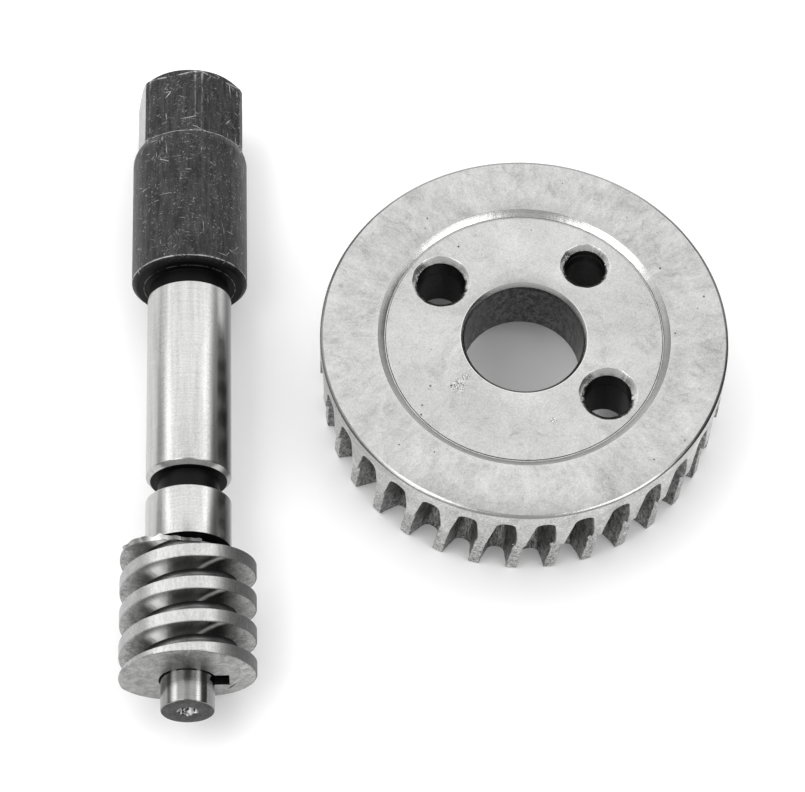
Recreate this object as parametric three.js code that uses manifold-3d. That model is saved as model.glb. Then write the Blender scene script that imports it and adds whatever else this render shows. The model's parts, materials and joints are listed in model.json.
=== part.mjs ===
// Worm gear set laid out on a bench: a worm wheel lying flat, and beside it the worm shaft
// lying on its side, with its worm keyed in place. Millimetres, +Z up, shaft along Y.
import * as THREE from 'three';
import { mergeVertices } from 'three/addons/utils/BufferGeometryUtils.js';
import Module from 'manifold-3d';

const wasm = await Module();
wasm.setup();

// --- Gearing shared by the worm and the wheel ---
const TOOTH_COUNT = 33;
const AXIAL_PITCH = 6.5;             // single-start, right-hand thread: lead = pitch
const WORM_RADIUS = 12.5;
const THREAD_DEPTH = 4.5;
const THREAD_CREST_WIDTH = 2.5;
const FLANK_ANGLE = THREE.MathUtils.degToRad(14.5);
const PITCH_RADIUS = TOOTH_COUNT * AXIAL_PITCH / (2 * Math.PI);
const CENTRE_DISTANCE = 44.6;        // wheel axis to worm axis, when the two are in mesh
const ROOT_CLEARANCE = 0.95;         // the gaps in the wheel are cut this much deeper
const THREAD_PHASE = 2.2;            // shifts the thread along the worm
const THREAD_OVERLAP = 0.8;          // how far the thread's bar is sunk into the worm's core
const CUTTER_RADIUS = WORM_RADIUS + ROOT_CLEARANCE;
const CUTTER_HALF_WIDTH = 1.53;      // the wheel's cutter is fuller at its crest than the worm
const CUTTER_FLANK_ANGLE = THREE.MathUtils.degToRad(9.9);
const CUTTER_TIP_ROUND = 1.2;
const LOWER_RISE = 0.92;             // the gaps stay a little deeper below the cutter's axis

// --- Worm wheel ---
const WHEEL_X = 18.6;
const WHEEL_Y = 4.7;
const WHEEL_HEIGHT = 22.6;
const RIM_RADIUS = 38.1;
const RIM_CHAMFER_WIDTH = 0.6;
const RIM_CHAMFER_HEIGHT = 0.3;
const LOWER_RIM_RADIUS = 37.45;      // the rim steps in below this height
const LOWER_RIM_HEIGHT = 10.7;
const RIM_STEP_HEIGHT = 0.2;
const MESH_PLANE_HEIGHT = 7.75;      // height of the worm's axis when in mesh
const GAP_TOP_HEIGHT = MESH_PLANE_HEIGHT
  + Math.sqrt(CUTTER_RADIUS ** 2 - (CENTRE_DISTANCE - RIM_RADIUS) ** 2);
const GAP_SECTION_HEIGHTS = [14.5, 17.5, 18.8, 19.3];  // sections that round the tops of the gaps
const FIRST_GAP_ANGLE = -87.9;       // degrees, seen from above
const TOP_RECESS_RADIUS = 27.35;
const TOP_RECESS_FLOOR_RADIUS = 26.05;
const TOP_RECESS_DEPTH = 0.85;
const UNDERSIDE_RECESS_RADIUS = 28;
const UNDERSIDE_RECESS_DEPTH = 7.5;
const BORE_RADIUS = 11.15;
const BORE_CHAMFER = 0.7;
const BOLT_CIRCLE_RADIUS = 19.45;
const BOLT_HOLES = [
  { angle: -39, radius: 4.45, chamfer: 1.05 },
  { angle: 51.2, radius: 3.8, chamfer: 0.9 },
  { angle: 141, radius: 4.45, chamfer: 1 },
];

// --- Worm shaft: stations are distances from the stub end, along the shaft ---
const SHAFT_X = -44.2;
const SHAFT_LENGTH = 132.4;
const SEAT_RADIUS = 4.9;
const STUB_CHAMFER = 0.5;
const WORM_START = 6.1;
const WORM_END = 30.3;
const JOURNAL_RADIUS = 7.94;
const LOWER_JOURNAL_START = 32.1;
const GROOVE_START = 42;
const GROOVE_RADIUS = 5.75;
const UPPER_JOURNAL_START = 46.3;
const JOURNAL_CHAMFER = 1;
const NECK_START = 85.5;
const NECK_RADIUS = 7.5;
const COLLAR_START = 88.2;
const COLLAR_RADIUS = 11;
const COLLAR_CHAMFER = 1;
const COLLAR_END_RADIUS = 10.55;     // where the collar's far chamfer meets the hexagon
const HEX_START = 117.7;
const HEX_ROUND_RADIUS = 10.65;      // the round bar that the flats are milled on
const HEX_ACROSS_FLATS = 19.05;
const HEX_CORNER_ANGLE = 19.2;       // degrees from +X towards +Z
const HEX_END_CHAMFER = 1.2;
const CENTRE_HOLE_RADIUS = 1.7;
const CENTRE_HOLE_DEPTH = 4;

// --- Key between the shaft and the worm ---
const KEY_WIDTH = 4;
const KEY_START = 11;
const KEY_LENGTH = 16;
const KEY_SEAT_FLOOR = 2.8;          // distance of the seat's floor from the shaft's axis
const KEYWAY_TOP = 7.5;              // distance of the worm's keyway roof from the axis
const BORE_FIT = 0.1;                // radial gap between the worm and its seat
const KEY_FIT = 0.15;

const ROUND_SEGMENTS = 24;
const WHEEL_SEGMENTS = 48;

// The shaft lies on its worm and on its collar, which is thinner, so it slopes a little.
const WORM_CONTACT = 30.3;
const COLLAR_CONTACT = 116.7;
const SHAFT_TILT = Math.asin((WORM_RADIUS - COLLAR_RADIUS) / (COLLAR_CONTACT - WORM_CONTACT));
const SHAFT_END_HEIGHT = WORM_RADIUS + WORM_CONTACT * Math.sin(SHAFT_TILT);

const steel = (name, color, roughness) =>
  Object.assign(new THREE.MeshStandardMaterial({ color, roughness, metalness: 1 }), { name });

const wheelSteel = steel('wheel_steel', 0xc6c6c4, 0.4);
const shaftSteel = steel('shaft_steel', 0x4a4a4a, 0.45);
const wormSteel = steel('worm_steel', 0x9c9c9a, 0.35);
const keySteel = steel('key_steel', 0x8c8c8c, 0.4);

// Turns a closed three.js geometry into a solid that can be joined and cut.
function solidFrom(geometry) {
  const bare = geometry.index ? geometry.toNonIndexed() : geometry.clone();
  bare.deleteAttribute('normal');
  bare.deleteAttribute('uv');
  const merged = mergeVertices(bare, 1e-4);
  const corners = merged.index.array;
  const kept = [];
  for (let i = 0; i < corners.length; i += 3) {
    const [a, b, c] = [corners[i], corners[i + 1], corners[i + 2]];
    if (a !== b && b !== c && c !== a) kept.push(a, b, c);
  }
  const vertProperties = Float32Array.from(merged.attributes.position.array);
  const triVerts = Uint32Array.from(kept);
  return new wasm.Manifold(new wasm.Mesh({ numProp: 3, vertProperties, triVerts }));
}

function meshFrom(solid, name, material) {
  const { vertProperties, triVerts } = solid.getMesh();
  const geometry = new THREE.BufferGeometry();
  geometry.setAttribute('position', new THREE.BufferAttribute(vertProperties, 3));
  geometry.setIndex(new THREE.BufferAttribute(triVerts, 1));
  geometry.computeVertexNormals();
  const mesh = new THREE.Mesh(geometry, material);
  mesh.name = name;
  return mesh;
}

// A solid turned about Y from [radius, station] pairs, which start and end on the axis.
function turned(outline, segments = ROUND_SEGMENTS) {
  const points = outline.map(([radius, station]) => new THREE.Vector2(radius, station));
  return new THREE.LatheGeometry(points, segments);
}

// The same about Z, for the wheel.
function turnedUpright(outline, segments = WHEEL_SEGMENTS) {
  return turned(outline, segments).rotateX(Math.PI / 2);
}

function box(width, length, height, x, y, z) {
  return new THREE.BoxGeometry(width, length, height).translate(x, y, z);
}

// Joins rings of points, each with the same count, into one closed skin with fan caps.
function loft(rings) {
  const positions = [];
  const addTriangle = (a, b, c) => positions.push(...a, ...b, ...c);
  const count = rings[0].length;
  const mean = (ring, axis) => ring.reduce((sum, point) => sum + point[axis], 0) / count;
  const middle = (ring) => [0, 1, 2].map((axis) => mean(ring, axis));
  for (let level = 0; level + 1 < rings.length; level += 1) {
    for (let i = 0; i < count; i += 1) {
      const j = (i + 1) % count;
      addTriangle(rings[level][i], rings[level][j], rings[level + 1][j]);
      addTriangle(rings[level][i], rings[level + 1][j], rings[level + 1][i]);
    }
  }
  const [first, last] = [rings[0], rings[rings.length - 1]];
  for (let i = 0; i < count; i += 1) {
    const j = (i + 1) % count;
    addTriangle(middle(first), first[j], first[i]);
    addTriangle(middle(last), last[i], last[j]);
  }
  const geometry = new THREE.BufferGeometry();
  geometry.setAttribute('position', new THREE.Float32BufferAttribute(positions, 3));
  return geometry;
}

// Half the thread's width at a distance from the worm's axis.
function threadHalfWidth(radius) {
  return THREAD_CREST_WIDTH / 2 + (WORM_RADIUS - radius) * Math.tan(FLANK_ANGLE);
}

// Half the width of the wheel's cutter, whose thread has a rounded crest.
function cutterHalfWidth(radius) {
  const straight = CUTTER_HALF_WIDTH + (WORM_RADIUS - radius) * Math.tan(CUTTER_FLANK_ANGLE);
  const into = Math.max(radius - CUTTER_RADIUS + CUTTER_TIP_ROUND, 0) / CUTTER_TIP_ROUND;
  return straight - CUTTER_TIP_ROUND * (1 - Math.sqrt(1 - into ** 2));
}

// Radius of a wheel gap's floor at a height `rise` above the cutter's axis.
function gapFloor(rise) {
  return CENTRE_DISTANCE - Math.sqrt(CUTTER_RADIUS ** 2 - rise ** 2);
}

// The two edges of a wheel gap, as angles in radians from the gap's middle. Above the
// cutter's axis the sides follow its thread; below it they stay as wide as at the axis.
function gapEdges(radius, rise) {
  const coreRadius = WORM_RADIUS - THREAD_DEPTH;
  const cutRadius = Math.max(Math.hypot(CENTRE_DISTANCE - radius, rise), coreRadius);
  const lead = AXIAL_PITCH * Math.asin(rise / cutRadius) / (2 * Math.PI);
  const floor = gapFloor(rise);
  const below = (radius - floor) / (CENTRE_DISTANCE - coreRadius - floor);
  const above = (CUTTER_RADIUS - cutRadius) / (CUTTER_RADIUS - coreRadius);
  const share = THREE.MathUtils.clamp(rise < 0 ? below : above, 0, 1);
  const half = cutterHalfWidth(CUTTER_RADIUS + (coreRadius - CUTTER_RADIUS) * share);
  return [(lead - half) / PITCH_RADIUS, (lead + half) / PITCH_RADIUS];
}

// One level of the toothed rim: the outline of all gaps and crests at a height.
function rimRing(height, outerRadius) {
  const flankSteps = 3;
  const closed = height >= GAP_TOP_HEIGHT;
  const above = Math.min(height, GAP_TOP_HEIGHT) - MESH_PLANE_HEIGHT;
  const rise = above < 0 ? above * LOWER_RISE : above;
  const rootRadius = Math.min(gapFloor(rise), RIM_RADIUS);
  const ring = [];
  for (let tooth = 0; tooth < TOOTH_COUNT; tooth += 1) {
    const centre = THREE.MathUtils.degToRad(FIRST_GAP_ANGLE + 360 * tooth / TOOTH_COUNT);
    const left = [];
    const right = [];
    for (let i = 0; i <= flankSteps; i += 1) {
      const depth = (outerRadius - rootRadius) * (i / flankSteps) ** 2;
      const radius = closed ? RIM_RADIUS : rootRadius + depth;
      const [low, high] = gapEdges(radius, rise);
      const drawn = closed ? outerRadius : radius;
      left.unshift([drawn * Math.cos(centre + low), drawn * Math.sin(centre + low), height]);
      right.push([drawn * Math.cos(centre + high), drawn * Math.sin(centre + high), height]);
    }
    ring.push(...left, ...right);
  }
  return ring;
}

function wheelBlank() {
  const levels = [
    [0, LOWER_RIM_RADIUS],
    [MESH_PLANE_HEIGHT / 2, LOWER_RIM_RADIUS],
    [MESH_PLANE_HEIGHT, LOWER_RIM_RADIUS],
    [LOWER_RIM_HEIGHT, LOWER_RIM_RADIUS],
    [LOWER_RIM_HEIGHT + RIM_STEP_HEIGHT, RIM_RADIUS],
    ...GAP_SECTION_HEIGHTS.map((height) => [height, RIM_RADIUS]),
    [GAP_TOP_HEIGHT, RIM_RADIUS],
    [WHEEL_HEIGHT - RIM_CHAMFER_HEIGHT, RIM_RADIUS],
    [WHEEL_HEIGHT, RIM_RADIUS - RIM_CHAMFER_WIDTH],
  ];
  return solidFrom(loft(levels.map(([height, radius]) => rimRing(height, radius))));
}

// A through hole with a countersink at the web's upper face.
function holeCutter(radius, chamfer, segments) {
  const face = WHEEL_HEIGHT - TOP_RECESS_DEPTH;
  const over = 1;
  return turnedUpright([
    [0, -over],
    [radius, -over],
    [radius, face - chamfer],
    [radius + chamfer + over, face + over],
    [0, face + over],
  ], segments);
}

function wormWheel() {
  const topRecess = turnedUpright([
    [0, WHEEL_HEIGHT - TOP_RECESS_DEPTH],
    [TOP_RECESS_FLOOR_RADIUS, WHEEL_HEIGHT - TOP_RECESS_DEPTH],
    [TOP_RECESS_RADIUS, WHEEL_HEIGHT],
    [TOP_RECESS_RADIUS, WHEEL_HEIGHT + 1],
    [0, WHEEL_HEIGHT + 1],
  ]);
  const undersideRecess = turnedUpright([
    [0, -1],
    [UNDERSIDE_RECESS_RADIUS, -1],
    [UNDERSIDE_RECESS_RADIUS, UNDERSIDE_RECESS_DEPTH],
    [0, UNDERSIDE_RECESS_DEPTH],
  ]);
  let wheel = wheelBlank()
    .subtract(solidFrom(topRecess))
    .subtract(solidFrom(undersideRecess))
    .subtract(solidFrom(holeCutter(BORE_RADIUS, BORE_CHAMFER, 36)));
  for (const { angle, radius, chamfer } of BOLT_HOLES) {
    const turn = THREE.MathUtils.degToRad(angle);
    const [x, y] = [BOLT_CIRCLE_RADIUS * Math.cos(turn), BOLT_CIRCLE_RADIUS * Math.sin(turn)];
    wheel = wheel.subtract(solidFrom(holeCutter(radius, chamfer, 20).translate(x, y, 0)));
  }
  const mesh = meshFrom(wheel, 'worm_wheel', wheelSteel);
  mesh.position.set(WHEEL_X, WHEEL_Y, 0);
  return mesh;
}

// The helical thread alone, as a closed bar of trapezoid section that runs past both ends.
function threadBar() {
  const stepsPerTurn = ROUND_SEGMENTS;
  const turns = (WORM_END - WORM_START) / AXIAL_PITCH + 2;
  const sunkRadius = WORM_RADIUS - THREAD_DEPTH - THREAD_OVERLAP;
  const [crest, base] = [threadHalfWidth(WORM_RADIUS), threadHalfWidth(sunkRadius)];
  const section = [
    [sunkRadius, base],
    [WORM_RADIUS, crest],
    [WORM_RADIUS, -crest],
    [sunkRadius, -base],
  ];
  const rings = [];
  for (let i = 0; i <= turns * stepsPerTurn; i += 1) {
    const turn = 2 * Math.PI * i / stepsPerTurn;
    const station = WORM_START - AXIAL_PITCH + AXIAL_PITCH * i / stepsPerTurn + THREAD_PHASE;
    rings.push(section.map(([radius, offset]) =>
      [radius * Math.cos(turn), station + offset, -radius * Math.sin(turn)]));
  }
  return loft(rings);
}

function worm() {
  const core = turned([
    [0, WORM_START],
    [WORM_RADIUS - THREAD_DEPTH, WORM_START],
    [WORM_RADIUS - THREAD_DEPTH, WORM_END],
    [0, WORM_END],
  ]);
  const envelope = turned([
    [0, WORM_START],
    [WORM_RADIUS + 1, WORM_START],
    [WORM_RADIUS + 1, WORM_END],
    [0, WORM_END],
  ]);
  const bore = turned([
    [0, WORM_START - 1],
    [SEAT_RADIUS + BORE_FIT, WORM_START - 1],
    [SEAT_RADIUS + BORE_FIT, WORM_END + 1],
    [0, WORM_END + 1],
  ]);
  const length = WORM_END - WORM_START + 2;
  const keyway = box(KEYWAY_TOP, length, KEY_WIDTH, KEYWAY_TOP / 2, (WORM_START + WORM_END) / 2, 0);
  const solid = solidFrom(threadBar())
    .intersect(solidFrom(envelope))
    .add(solidFrom(core))
    .subtract(solidFrom(bore))
    .subtract(solidFrom(keyway));
  return meshFrom(solid, 'worm', wormSteel);
}

// A bar with round ends, lying along Y on the +X side of the shaft.
function keyShape(width, length, floor, top) {
  const middle = KEY_START + KEY_LENGTH / 2;
  const straight = (length - width) / 2;
  const outline = new THREE.Shape();
  outline.absarc(0, straight, width / 2, 0, Math.PI, false);
  outline.absarc(0, -straight, width / 2, Math.PI, 2 * Math.PI, false);
  const bar = new THREE.ExtrudeGeometry(outline, {
    depth: top - floor,
    bevelEnabled: false,
    curveSegments: 6,
  });
  return bar.rotateY(Math.PI / 2).translate(floor, middle, 0);
}

function wormKey() {
  const solid = solidFrom(keyShape(
    KEY_WIDTH - 2 * KEY_FIT,
    KEY_LENGTH - 2 * KEY_FIT,
    KEY_SEAT_FLOOR + KEY_FIT,
    KEYWAY_TOP - KEY_FIT,
  ));
  return meshFrom(solid, 'worm_key', keySteel);
}

// The round bar behind the wrench flats, kept only where the hexagon covers it.
function hexEnd() {
  const round = turned([
    [0, COLLAR_START + COLLAR_CHAMFER],
    [HEX_ROUND_RADIUS, COLLAR_START + COLLAR_CHAMFER],
    [HEX_ROUND_RADIUS, SHAFT_LENGTH - HEX_END_CHAMFER],
    [HEX_ROUND_RADIUS - HEX_END_CHAMFER, SHAFT_LENGTH],
    [0, SHAFT_LENGTH],
  ], 2 * ROUND_SEGMENTS);
  const cornerRadius = HEX_ACROSS_FLATS / Math.sqrt(3);
  const length = SHAFT_LENGTH - HEX_START + 4;
  const hexagon = new THREE.CylinderGeometry(cornerRadius, cornerRadius, length, 6);
  hexagon.rotateY(THREE.MathUtils.degToRad(90 - HEX_CORNER_ANGLE));
  hexagon.translate(0, HEX_START - 2 + length / 2, 0);
  return solidFrom(round).intersect(solidFrom(hexagon));
}

function wormShaft() {
  const body = turned([
    [0, 0],
    [SEAT_RADIUS - STUB_CHAMFER, 0],
    [SEAT_RADIUS, STUB_CHAMFER],
    [SEAT_RADIUS, LOWER_JOURNAL_START],
    [JOURNAL_RADIUS, LOWER_JOURNAL_START],
    [JOURNAL_RADIUS, GROOVE_START],
    [GROOVE_RADIUS, GROOVE_START],
    [GROOVE_RADIUS, UPPER_JOURNAL_START],
    [JOURNAL_RADIUS - JOURNAL_CHAMFER, UPPER_JOURNAL_START],
    [JOURNAL_RADIUS, UPPER_JOURNAL_START + JOURNAL_CHAMFER],
    [JOURNAL_RADIUS, NECK_START],
    [NECK_RADIUS, NECK_START],
    [NECK_RADIUS, COLLAR_START],
    [COLLAR_RADIUS - COLLAR_CHAMFER, COLLAR_START],
    [COLLAR_RADIUS, COLLAR_START + COLLAR_CHAMFER],
    [COLLAR_RADIUS, HEX_START - COLLAR_CHAMFER],
    [COLLAR_END_RADIUS, HEX_START],
    [0, HEX_START],
  ]);
  const centreHole = turned([
    [0, -1],
    [CENTRE_HOLE_RADIUS + 1, -1],
    [CENTRE_HOLE_RADIUS, 0],
    [CENTRE_HOLE_RADIUS / 2, CENTRE_HOLE_DEPTH / 2],
    [CENTRE_HOLE_RADIUS / 2, CENTRE_HOLE_DEPTH],
    [0, CENTRE_HOLE_DEPTH],
  ], 12);
  const keySeat = keyShape(KEY_WIDTH, KEY_LENGTH, KEY_SEAT_FLOOR, KEYWAY_TOP);
  const solid = solidFrom(body)
    .add(hexEnd())
    .subtract(solidFrom(centreHole))
    .subtract(solidFrom(keySeat));
  return meshFrom(solid, 'worm_shaft', shaftSteel);
}

// The shaft's own frame runs along Y from the stub end; the group lays it on the bench.
const shaftLine = new THREE.Group();
shaftLine.position.set(SHAFT_X, -SHAFT_LENGTH / 2, SHAFT_END_HEIGHT);
shaftLine.rotation.x = -SHAFT_TILT;
shaftLine.add(wormShaft(), wormKey(), worm());

const group = new THREE.Group();
group.add(wormWheel(), shaftLine);

export default group;
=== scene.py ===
"""Looks for the worm gear set: a toothed wheel lying flat and a keyed worm shaft beside it."""
import json
import math

import bmesh
import bpy
import numpy as np
from mathutils import Matrix, Vector


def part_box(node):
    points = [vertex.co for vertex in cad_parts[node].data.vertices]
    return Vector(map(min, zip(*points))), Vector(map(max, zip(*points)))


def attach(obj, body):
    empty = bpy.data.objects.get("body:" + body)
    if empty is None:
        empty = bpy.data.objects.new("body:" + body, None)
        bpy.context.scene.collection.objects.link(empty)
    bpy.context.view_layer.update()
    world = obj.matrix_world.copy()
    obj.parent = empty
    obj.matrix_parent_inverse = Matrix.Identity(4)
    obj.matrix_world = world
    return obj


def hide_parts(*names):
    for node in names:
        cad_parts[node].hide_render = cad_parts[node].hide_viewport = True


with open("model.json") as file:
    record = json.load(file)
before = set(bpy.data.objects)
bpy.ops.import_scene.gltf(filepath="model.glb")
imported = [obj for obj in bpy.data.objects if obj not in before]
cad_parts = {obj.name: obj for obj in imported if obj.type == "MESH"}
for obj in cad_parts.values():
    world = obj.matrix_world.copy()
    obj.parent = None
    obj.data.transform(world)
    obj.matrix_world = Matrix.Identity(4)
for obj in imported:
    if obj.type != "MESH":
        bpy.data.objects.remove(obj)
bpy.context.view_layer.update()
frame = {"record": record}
MM = 0.001
TAU = 2 * math.pi

# --- Gearing, millimetres ---
TEETH = 33
PITCH = 6.5
WORM_RADIUS = 12.5
THREAD_DEPTH = 4.5
WORM_ROOT = WORM_RADIUS - THREAD_DEPTH
CREST_WIDTH = 2.5
FLANK = math.radians(14.5)
PITCH_RADIUS = TEETH * PITCH / TAU
CENTRE_DISTANCE = 44.6
CUTTER_RADIUS = WORM_RADIUS + 0.95
CUTTER_HALF_WIDTH = 1.53
CUTTER_FLANK = math.radians(9.9)
CUTTER_TIP_ROUND = 1.2
LOWER_RISE = 0.92
MESH_PLANE = 7.75
FIRST_GAP = math.radians(-87.9)

# --- Wheel ---
RIM = 38.1
LOWER_RIM = 37.45
STEP_HEIGHT = 10.7
WHEEL_HEIGHT = 22.6
PLAIN_BAND = 22.05
WEB_TOP = 21.75
WEB_UNDERSIDE = 7.5
RECESS_RADIUS = 27.35
RECESS_FLOOR_RADIUS = 26.05
UNDERSIDE_RADIUS = 28.0
BORE = 11.15
BORE_CHAMFER = 0.7
WIDEST_CHAMFER = -117    # degrees
BOLT_CIRCLE = 19.45
BOLT_HOLES = [(-39.0, 4.35, 1.1), (51.2, 3.8, 0.9), (141.0, 4.45, 1.0)]    # angle, radius, chamfer

# --- Shaft stations ---
SHAFT_LENGTH = 132.4
SEAT = 4.9
WORM_START = 6.1
WORM_END = 30.3
THREAD_PHASE = 2.2
HEX_START = 117.7
HEX_FLATS = 19.05
HEX_ROUND = 10.65
HEX_CORNER = math.radians(19.2)
HALF_FLAT = math.acos(HEX_FLATS / 2 / HEX_ROUND)
RUBBED_TURN = 169.2
SHOULDER = 32.1
JOURNAL = 7.94
GROOVE, GROOVE_START, GROOVE_END = 5.75, 42.0, 46.3
NECK, NECK_START = 7.5, 85.5
COLLAR, COLLAR_START = 11.0, 88.2
COLLAR_ARC = 10.0
KEY_MIDDLE = 19.0

# --- Material slots, in the order of the lists that the pieces are made with ---
(FACE, OUTSIDE, GAPS, TORN_CRESTS, BORE_WALL, HOLE_WALL,
 CHAMFERS, RECESS_SLOPE, OUTER_EDGE) = range(9)
JOURNALS, STUB, BLACKENED, SAWN_END, CENTRE_HOLE, RUBBED_FLAT = range(6)
FLANKS, CRESTS, FRONT_END, KEYWAY, ROOTS, BURR = range(6)


# ------------ mesh helpers
def new_object(name, points, faces, place, materials):
    """A mesh object from millimetre points in its own frame, set in the row's frame."""
    mesh = bpy.data.meshes.new(name)
    mesh.from_pydata([tuple(p) for p in np.asarray(points) * MM], [], faces)
    mesh.validate()
    thing = bpy.data.objects.new(name, mesh)
    bpy.context.scene.collection.objects.link(thing)
    thing.matrix_world = place
    for material in materials:
        mesh.materials.append(material)
    face_outward(mesh)
    return thing


def face_outward(mesh):
    """Turns all faces outward, judged by the signed volume."""
    work = bmesh.new()
    work.from_mesh(mesh)
    bmesh.ops.recalc_face_normals(work, faces=work.faces)
    if work.calc_volume(signed=True) < 0:
        bmesh.ops.reverse_faces(work, faces=work.faces)
    work.to_mesh(mesh)
    work.free()


def grid_faces(rows, columns, wrap=False):
    """Quads of a grid whose columns close on themselves, and whose rows do if wrap is set."""
    faces = []
    for i in range(rows if wrap else rows - 1):
        a = i * columns
        b = ((i + 1) % rows) * columns
        for j in range(columns):
            k = (j + 1) % columns
            faces.append((a + j, a + k, b + k, b + j))
    return faces


def capped(rings):
    """Points and faces of a closed skin over rings, with a fan at each end."""
    rings = np.asarray(rings)
    rows, columns = rings.shape[:2]
    faces = grid_faces(rows, columns)
    points = list(rings.reshape(-1, 3)) + [rings[0].mean(0), rings[-1].mean(0)]
    first, last = len(points) - 2, len(points) - 1
    top = (rows - 1) * columns
    for j in range(columns):
        k = (j + 1) % columns
        faces.append((first, k, j))
        faces.append((last, top + j, top + k))
    return points, faces


def boolean(target, tool, operation):
    """Joins or cuts target by tool, and removes tool."""
    change = target.modifiers.new("cut", "BOOLEAN")
    change.operation = operation
    change.solver = "MANIFOLD"
    change.object = tool
    bpy.context.view_layer.update()
    shaped = target.evaluated_get(bpy.context.evaluated_depsgraph_get())
    mesh = bpy.data.meshes.new_from_object(shaped)
    target.modifiers.clear()
    old = target.data
    target.data = mesh
    mesh.name = target.name
    bpy.data.meshes.remove(old)
    bpy.data.objects.remove(tool)


def carve(target, name, rings, place, operation="DIFFERENCE"):
    """Joins or cuts target by a closed skin over rings in the frame `place`."""
    boolean(target, new_object(name, *capped(rings), place, []), operation)


def smooth(thing, angle):
    """Smooth shading, with edges sharper than the angle left crisp."""
    mesh = thing.data
    mesh.polygons.foreach_set("use_smooth", [True] * len(mesh.polygons))
    mesh.set_sharp_from_angle(angle=math.radians(angle))
    mesh.update()


def read(items, name):
    """One vector of each face or vertex, as an array of rows."""
    values = np.empty(len(items) * 3)
    items.foreach_get(name, values)
    return values.reshape(-1, 3)


def face_centres(mesh):
    """The middles of the faces, in millimetres, and the ways they look."""
    return read(mesh.polygons, "center") / MM, read(mesh.polygons, "normal")


def rounded(outline, radius=0.12, steps=3):
    """Softens the corners of an open [radius, station] outline; the end points stay."""
    made = [np.array(outline[0], float)]
    for before, corner, after in zip(outline, outline[1:], outline[2:]):
        before, corner, after = (np.array(p, float) for p in (before, corner, after))
        back, ahead = before - corner, after - corner
        reach = min(radius, np.linalg.norm(back) * 0.4, np.linalg.norm(ahead) * 0.4)
        start = corner + back / np.linalg.norm(back) * reach
        end = corner + ahead / np.linalg.norm(ahead) * reach
        for t in np.linspace(0, 1, steps + 1):
            made.append((1 - t) ** 2 * start + 2 * t * (1 - t) * corner + t ** 2 * end)
    made.append(np.array(outline[-1], float))
    return made


def ring_about_y(reach, turn, station):
    """One ring about Y; its reach is one number or a number for each column."""
    return np.stack([reach * np.cos(turn), np.full(turn.shape, station), reach * np.sin(turn)], 1)


def lathe(outline, columns):
    """Rings about Y from [radius, station] pairs."""
    turn = np.arange(columns) * TAU / columns
    return np.array([ring_about_y(r, -turn, y) for r, y in outline])


def paint(mesh, regions):
    """Gives each face the material in its slot."""
    mesh.polygons.foreach_set("material_index", regions.astype(np.int32))


def lumps(x, seed, octaves=3):
    """A smooth repeatable wobble of x, about -1 to 1."""
    draw = np.random.default_rng(seed)
    total = np.zeros_like(np.asarray(x, float))
    for octave in range(octaves):
        phase = draw.uniform(0, TAU, 3)
        rate = draw.uniform(0.7, 1.3, 3) * 2.1 ** octave
        for p, f in zip(phase, rate):
            total = total + np.sin(x * f + p) / (3 * 1.5 ** octave)
    return total


# ------------ wheel
def cutter_half_width(radius):
    """Half the width of the cutter's rounded thread at a distance from its axis."""
    width = CUTTER_HALF_WIDTH + (WORM_RADIUS - radius) * math.tan(CUTTER_FLANK)
    into = np.clip((radius - CUTTER_RADIUS + CUTTER_TIP_ROUND) / CUTTER_TIP_ROUND, 0, 1)
    return width - CUTTER_TIP_ROUND * (1 - np.sqrt(1 - into ** 2))


def gap_edges(radius, rise):
    """The angles of a gap's two sides at some radii, `rise` above the cutter's axis."""
    radius = np.asarray(radius, float)
    core = WORM_ROOT
    cut = np.maximum(np.hypot(CENTRE_DISTANCE - radius, rise), core)
    lead = PITCH * np.arcsin(rise / cut) / TAU
    floor = CENTRE_DISTANCE - math.sqrt(CUTTER_RADIUS ** 2 - rise ** 2)
    below = (radius - floor) / (CENTRE_DISTANCE - core - floor)
    above = (CUTTER_RADIUS - cut) / (CUTTER_RADIUS - core)
    share = np.clip(below if rise < 0 else above, 0, 1)
    half = cutter_half_width(CUTTER_RADIUS - (CUTTER_RADIUS - core) * share)
    return (lead - half) / PITCH_RADIUS, (lead + half) / PITCH_RADIUS


FLANK_POINTS = 9
CREST_POINTS = 8
GAP_POINTS = 2 * FLANK_POINTS + 1
TOOTH_POINTS = GAP_POINTS + CREST_POINTS
TOOTH_TURN = TAU / TEETH
GAP_TOP = MESH_PLANE + math.sqrt(CUTTER_RADIUS ** 2 - (CENTRE_DISTANCE - RIM) ** 2)


def even_angles():
    """Angles of one tooth's columns when they are evenly spread."""
    place = np.arange(TOOTH_POINTS) - (GAP_POINTS - 1) / 2
    return place * TOOTH_TURN / TOOTH_POINTS


def crest_columns(low, high):
    """Evenly spaced columns from one gap's high side to the next gap's low side."""
    return np.linspace(high, low + TOOTH_TURN, CREST_POINTS)


def top_layout():
    """Columns at the very top of the gaps, where a gap is only a short line on the rim."""
    low, high = gap_edges([RIM], GAP_TOP - MESH_PLANE)
    low, high = float(low[0]), float(high[0])
    inside = np.linspace(low, high, GAP_POINTS + 2)[1:-1]
    return np.concatenate([inside, crest_columns(low, high)])


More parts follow.
